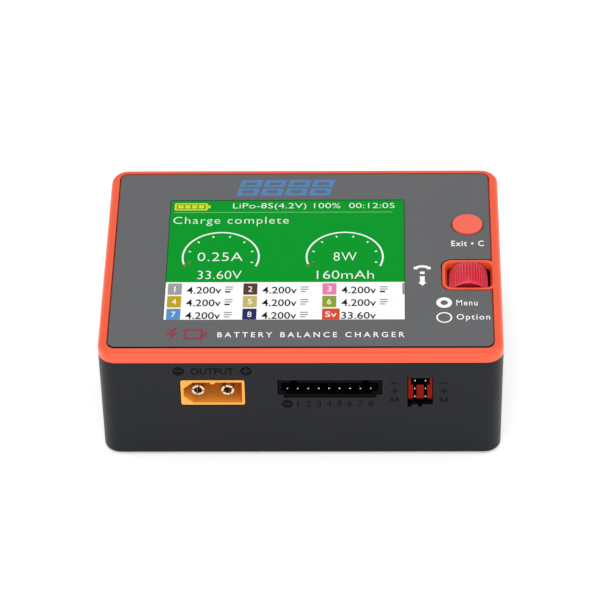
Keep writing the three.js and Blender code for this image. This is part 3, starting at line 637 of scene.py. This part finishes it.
table = {
    "columns": (-32.35, -14.1, 5.0), "rows": (-9.15, -13.8, -18.45), "tile": 3.4, "tileHigh": 4.2,
    "voltsAt": 4.6, "voltsWide": 8.35, "voltsLow": -3.8, "voltsHigh": -1.25, "barsAt": 13.85, "barsWide": 1.9,
    "barTop": -1.2, "barPitch": 0.82, "barThick": 0.36, "bars": 3, "lastBarShort": 0.6, "darkBarThick": 1.5,
    "darkBarCells": (1, 3, 4), "digitLow": -3.1, "digitHigh": -1.1, "digitInset": 1.2, "oneInset": 1.55,
    "totalWider": 0.85, "totalInset": 0.75, "tileRadius": 0.25, "scrollMark": (24.3, 24.8, -13.3, -9.1),
}
digits, volts, paleBars, darkBars = [], [], [], []
for row, top in enumerate(table["rows"]):
    for column, x in enumerate(table["columns"]):
        number = 3 * row + column + 1
        total = number == 9
        wide = table["tile"] + (table["totalWider"] if total else 0)
        low = max(top - table["tileHigh"], picture["low"])
        tile = litBox(1, x, x + wide, low, top, radius=table["tileRadius"])
        name, colour = ("totalTile", "litTotal") if total else (f"cellTile{number}", f"litCell{number}")
        lit(name, [tile], colour)
        inset = table["totalInset"] if total else table["digitInset"]
        if number == 1:
            inset = table["oneInset"]
        digitBox = (x + inset, x + wide - inset, top + table["digitLow"], top + table["digitHigh"])
        digits.append(litWords("Sv" if total else str(number), digitBox, 2))
        reading = "33.60v" if total else "4.200v"
        left = x + table["voltsAt"]
        voltsBox = (left, left + table["voltsWide"], top + table["voltsLow"], top + table["voltsHigh"])
        volts.append(litWords(reading, voltsBox, 1, weight=0.011))
        if total:
            continue
        for bar in range(table["bars"]):
            barTop = top + table["barTop"] - bar * table["barPitch"]
            last = bar == table["bars"] - 1
            dark = last and number in table["darkBarCells"]
            left = x + table["barsAt"]
            right = left + table["barsWide"] - (table["lastBarShort"] if last else 0)
            thick = table["barThick"] * (table["darkBarThick"] if dark else 1)
            (darkBars if dark else paleBars).append(litBox(1, left, right, barTop - thick, barTop))
paleBars.append(litBox(1, *table["scrollMark"]))
lit("cellNumbers", digits, "litWhite")
lit("cellVoltages", volts, "litDark")
lit("balanceBars", paleBars, "litGrey")
lit("balanceBarsDark", darkBars, "litDark")
print("display made")


# Exit key and control wheel

keyLow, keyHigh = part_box("exit_button")
keyMiddle = (keyLow + keyHigh) / 2 / mm
key = {"radius": 3.75, "flange": 4.7, "flangeTop": 30.1}
top, bottom = keyHigh.z / mm, keyLow.z / mm
profile = [(0, top), (3.2, top), (3.52, top - 0.03), (3.67, top - 0.1), (key["radius"], top - 0.22),
           (key["radius"], key["flangeTop"]), (key["flange"], key["flangeTop"]),
           (key["flange"], bottom), (0, bottom)]
mesh = turned("exitKey", profile, 64, (keyMiddle.x, keyMiddle.y, 0))
exitKey = newPiece("exitKey", mesh, "mouldedAbsKey", "exit_key", ("exit_button",))
soften(exitKey, 0.1)

wheel = {"ribs": 44, "groove": 0.42, "face": 4.3, "dish": 4.05, "dishDepth": 0.5, "bore": 0.85}


def wheelMesh():
    low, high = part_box("roller")
    middle = (low + high) / 2 / mm
    radius = (high.z - low.z) / 2 / mm
    front, back = low.y / mm, high.y / mm
    dishFront, dishBack = front + wheel["dishDepth"], back - wheel["dishDepth"]
    profile = [  # (y, radius, share of the rib's depth)
        (dishFront, wheel["bore"], 0), (dishFront, wheel["dish"] - 0.1, 0), (front + 0.03, wheel["dish"], 0),
        (front, wheel["dish"] + 0.04, 0), (front, wheel["face"] - 0.05, 0),
        (front + 0.06, wheel["face"] + 0.05, 0), (front + 0.13, wheel["face"] + 0.16, 0.3),
        (front + 0.4, radius - 0.06, 0.9), (front + 0.5, radius, 1),
        (back - 0.3, radius, 1), (back - 0.12, radius - 0.12, 1), (back, radius - 0.4, 0),
        (back, wheel["dish"], 0), (dishBack, wheel["dish"] - 0.1, 0), (dishBack, wheel["bore"], 0),
    ]
    crest = [0, 0, 0.4, 1, 1, 0.9, 0.3, 0]  # how deep the surface lies on the way over one rib
    around = wheel["ribs"] * len(crest)
    points, faces = [], []
    for y, r, ribbed in profile:
        for k in range(around):
            angle = 2 * math.pi * k / around
            reach = r - ribbed * wheel["groove"] * crest[k % len(crest)]
            points.append((middle.x + reach * math.cos(angle), y, middle.z + reach * math.sin(angle)))
    rings = len(profile)
    for ring in range(rings):
        for k in range(around):
            a, b = ring * around + k, ring * around + (k + 1) % around
            c, d = (b + around) % (rings * around), (a + around) % (rings * around)
            faces.append((a, d, c, b))
    mesh = meshFrom("controlWheel", points, faces)
    mesh.shade_smooth()
    mesh.set_sharp_from_angle(angle=math.radians(38))
    return mesh


newPiece("controlWheel", wheelMesh(), "anodisedAluminium", "control_wheel", ("roller",))
fromCad("roller_axle", "wheelAxle", "zincSteel", 0.1, "control_wheel")
fromCad("roller_cradle", "wheelCradle", "blackPolyester", 0.12, "wheel_cradle")
fromCad("roller_encoder", "wheelEncoder", "blackPolyester", 0.15, "wheel_cradle")
fromCad("roller_switch_plunger", "wheelSwitchPlunger", "zincSteel", 0.08, "wheel_cradle")
fromCad("roller_switch", "wheelSwitch", "blackPolyester", 0.1)
fromCad("exit_switch", "exitSwitch", "blackPolyester", 0.12)
fromCad("exit_switch_plunger", "exitSwitchPlunger", "zincSteel", 0.08, "exit_key")
print("key and wheel made")


# Sockets and pins

for end in ("output", "input"):
    fromCad(f"{end}_socket", f"{end}Socket", "amberNylon", 0.1)
    for n in (1, 2):
        fromCad(f"{end}_pin_{n}", f"{end}Pin{n}", "goldPlate", 0.12)
fromCad("balance_socket", "balanceSocket", "blackPolyester", 0.1)
servo = fromCad("servo_socket", "servoSocket", "redNylon", 0.08)
# a second, black slot for the painted shade in the recess
servo.data.materials.append(materials["blackPolyester"])
servoLow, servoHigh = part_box("servo_socket")
# the faces in the recess behind the red front, between its side walls, are painted black as the recess's
# shade
servoRecessShade = {"behind": 0.3, "half": 2.1}
for face in servo.data.polygons:
    inside = abs(face.center.x - (servoLow.x + servoHigh.x) / 2) < servoRecessShade["half"] * mm
    face.material_index = 1 if inside and face.center.y > servoLow.y + servoRecessShade["behind"] * mm else 0
for n in range(1, 10):
    fromCad(f"balance_pin_{n}", f"balancePin{n}", "tinPlate", 0.1)
for n in range(1, 7):
    fromCad(f"servo_pin_{n}", f"servoPin{n}", "tinPlate", 0.1)

# legends that the laser darkened on the front
legend = {"sunk": -0.02, "proud": 0.012, "draft": 0.2}
caseLow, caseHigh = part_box("lower_case")
lean = legend["draft"] * mm / (caseHigh.z - caseLow.z)
caseFront = (caseLow.y + lean * caseHigh.z) / mm


def frontArt(loops):
    return onFront(artwork(loops, legend["sunk"], legend["proud"]), caseFront, lean)


def frontWords(text, box, **settings):
    return onFront(lettering(text, *box, legend["sunk"], legend["proud"], **settings), caseFront, lean)


def signDisc(x, z, radius, plus=False):
    # a filled disc with a minus, or a plus, left open in it
    bar, thin = radius * 0.62, radius * 0.14
    if not plus:
        return frontArt([disc(x, z, radius), rectangle(x - bar, x + bar, z - thin, z + thin)])
    cross = [(bar, thin), (thin, thin), (thin, bar), (-thin, bar), (-thin, thin), (-bar, thin), (-bar, -thin),
             (-thin, -thin), (-thin, -bar), (thin, -bar), (thin, -thin), (bar, -thin)]
    return frontArt([disc(x, z, radius), [(x + dx, z + dz) for dx, dz in cross]])


outputMarks = {"minus": (-29.1, 27.3), "plus": (-13.0, 27.3), "radius": 1.4,
               "box": (-26.2, -15.9, 26.2, 28.3)}
parts = [signDisc(*outputMarks["minus"], outputMarks["radius"]),
         frontWords("OUTPUT", outputMarks["box"], weight=0.02),
         signDisc(*outputMarks["plus"], outputMarks["radius"], plus=True)]
newPiece("outputLegend", joined("outputLegend", parts), "darkLegend")

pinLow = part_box("balance_pin_1")[0].x / mm
pinStep = (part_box("balance_pin_9")[0].x / mm - pinLow) / 8
pinMarks = {"minusAt": 0.3, "minusHeight": 16.7, "radius": 1.35, "digitAt": 0.32, "low": 15.8, "high": 17.7,
            "halfWide": 0.62, "halfWideOne": 0.2}
parts = [signDisc(pinLow + pinMarks["minusAt"], pinMarks["minusHeight"], pinMarks["radius"])]
for n in range(1, 9):
    x = pinLow + pinMarks["digitAt"] + n * pinStep
    wide = pinMarks["halfWideOne"] if n == 1 else pinMarks["halfWide"]
    parts.append(frontWords(str(n), (x - wide, x + wide, pinMarks["low"], pinMarks["high"])))
newPiece("balanceLegend", joined("balanceLegend", parts), "darkLegend")

# beside the servo pins, from top to bottom: minus, plus and a pulse, each drawn about the column's x
servoMarks = {
    "columns": (22.3, 34.1),
    "strokes": [(-0.95, 0.95, 23.2, 23.5), (-0.95, 0.95, 20.6, 20.9), (-0.15, 0.15, 20.85, 21.7),
                (-0.15, 0.15, 19.8, 20.65)],
    "pulse": [(-0.95, 17.4), (-0.95, 18.7), (-0.3, 18.7), (-0.3, 17.7), (0.3, 17.7), (0.3, 18.7),
              (0.95, 18.7), (0.95, 17.4), (0.65, 17.4), (0.65, 18.4), (0.55, 18.4), (0.55, 17.4),
              (-0.55, 17.4), (-0.55, 18.4), (-0.65, 18.4), (-0.65, 17.4)],
}
parts = []
for x in servoMarks["columns"]:
    parts += [frontArt([rectangle(x + x0, x + x1, low, high)]) for x0, x1, low, high in servoMarks["strokes"]]
    parts.append(frontArt([[(x + dx, z) for dx, z in servoMarks["pulse"]]]))
newPiece("servoLegend", joined("servoLegend", parts), "darkLegend")
print("sockets made")


# Inside

fromCad("display_frame", "displayTray", "brushedSteel", 0.12)
fromCad("display_flex", "displayRibbon", "polyimideFilm", 0.04)
fromCad("control_board", "controlBoard", "solderMask", 0.1)
fromCad("power_board", "powerBoard", "solderMask", 0.1)
fromCad("board_header", "boardHeader", "blackPolyester", 0.15)
fromCad("heat_sink", "heatSink", "extrudedAluminium", 0.15)
fromCad("power_inductor", "powerInductor", "ironPowder", 0.5, segments=3)
fromCad("transistor_1", "transistor1", "blackPolyester", 0.12)
fromCad("transistor_2", "transistor2", "blackPolyester", 0.12)
fromCad("microcontroller", "controllerChip", "blackPolyester", 0.12)
fromCad("buzzer", "beeper", "blackPolyester", 0.3)
for n in (1, 2):
    fromCad(f"capacitor_{n}", f"capacitor{n}", "sleeveFilm", 0.12)
fromCad("fan_frame", "fanFrame", "blackPolyester", 0.15)
fromCad("fan_rotor", "fanRotor", "blackPolyester", 0.15, "fan_wheel")
fromCad("fan_lead", "fanLead", "sleeveFilm", 0.02)
print("inside made")

print("finished")
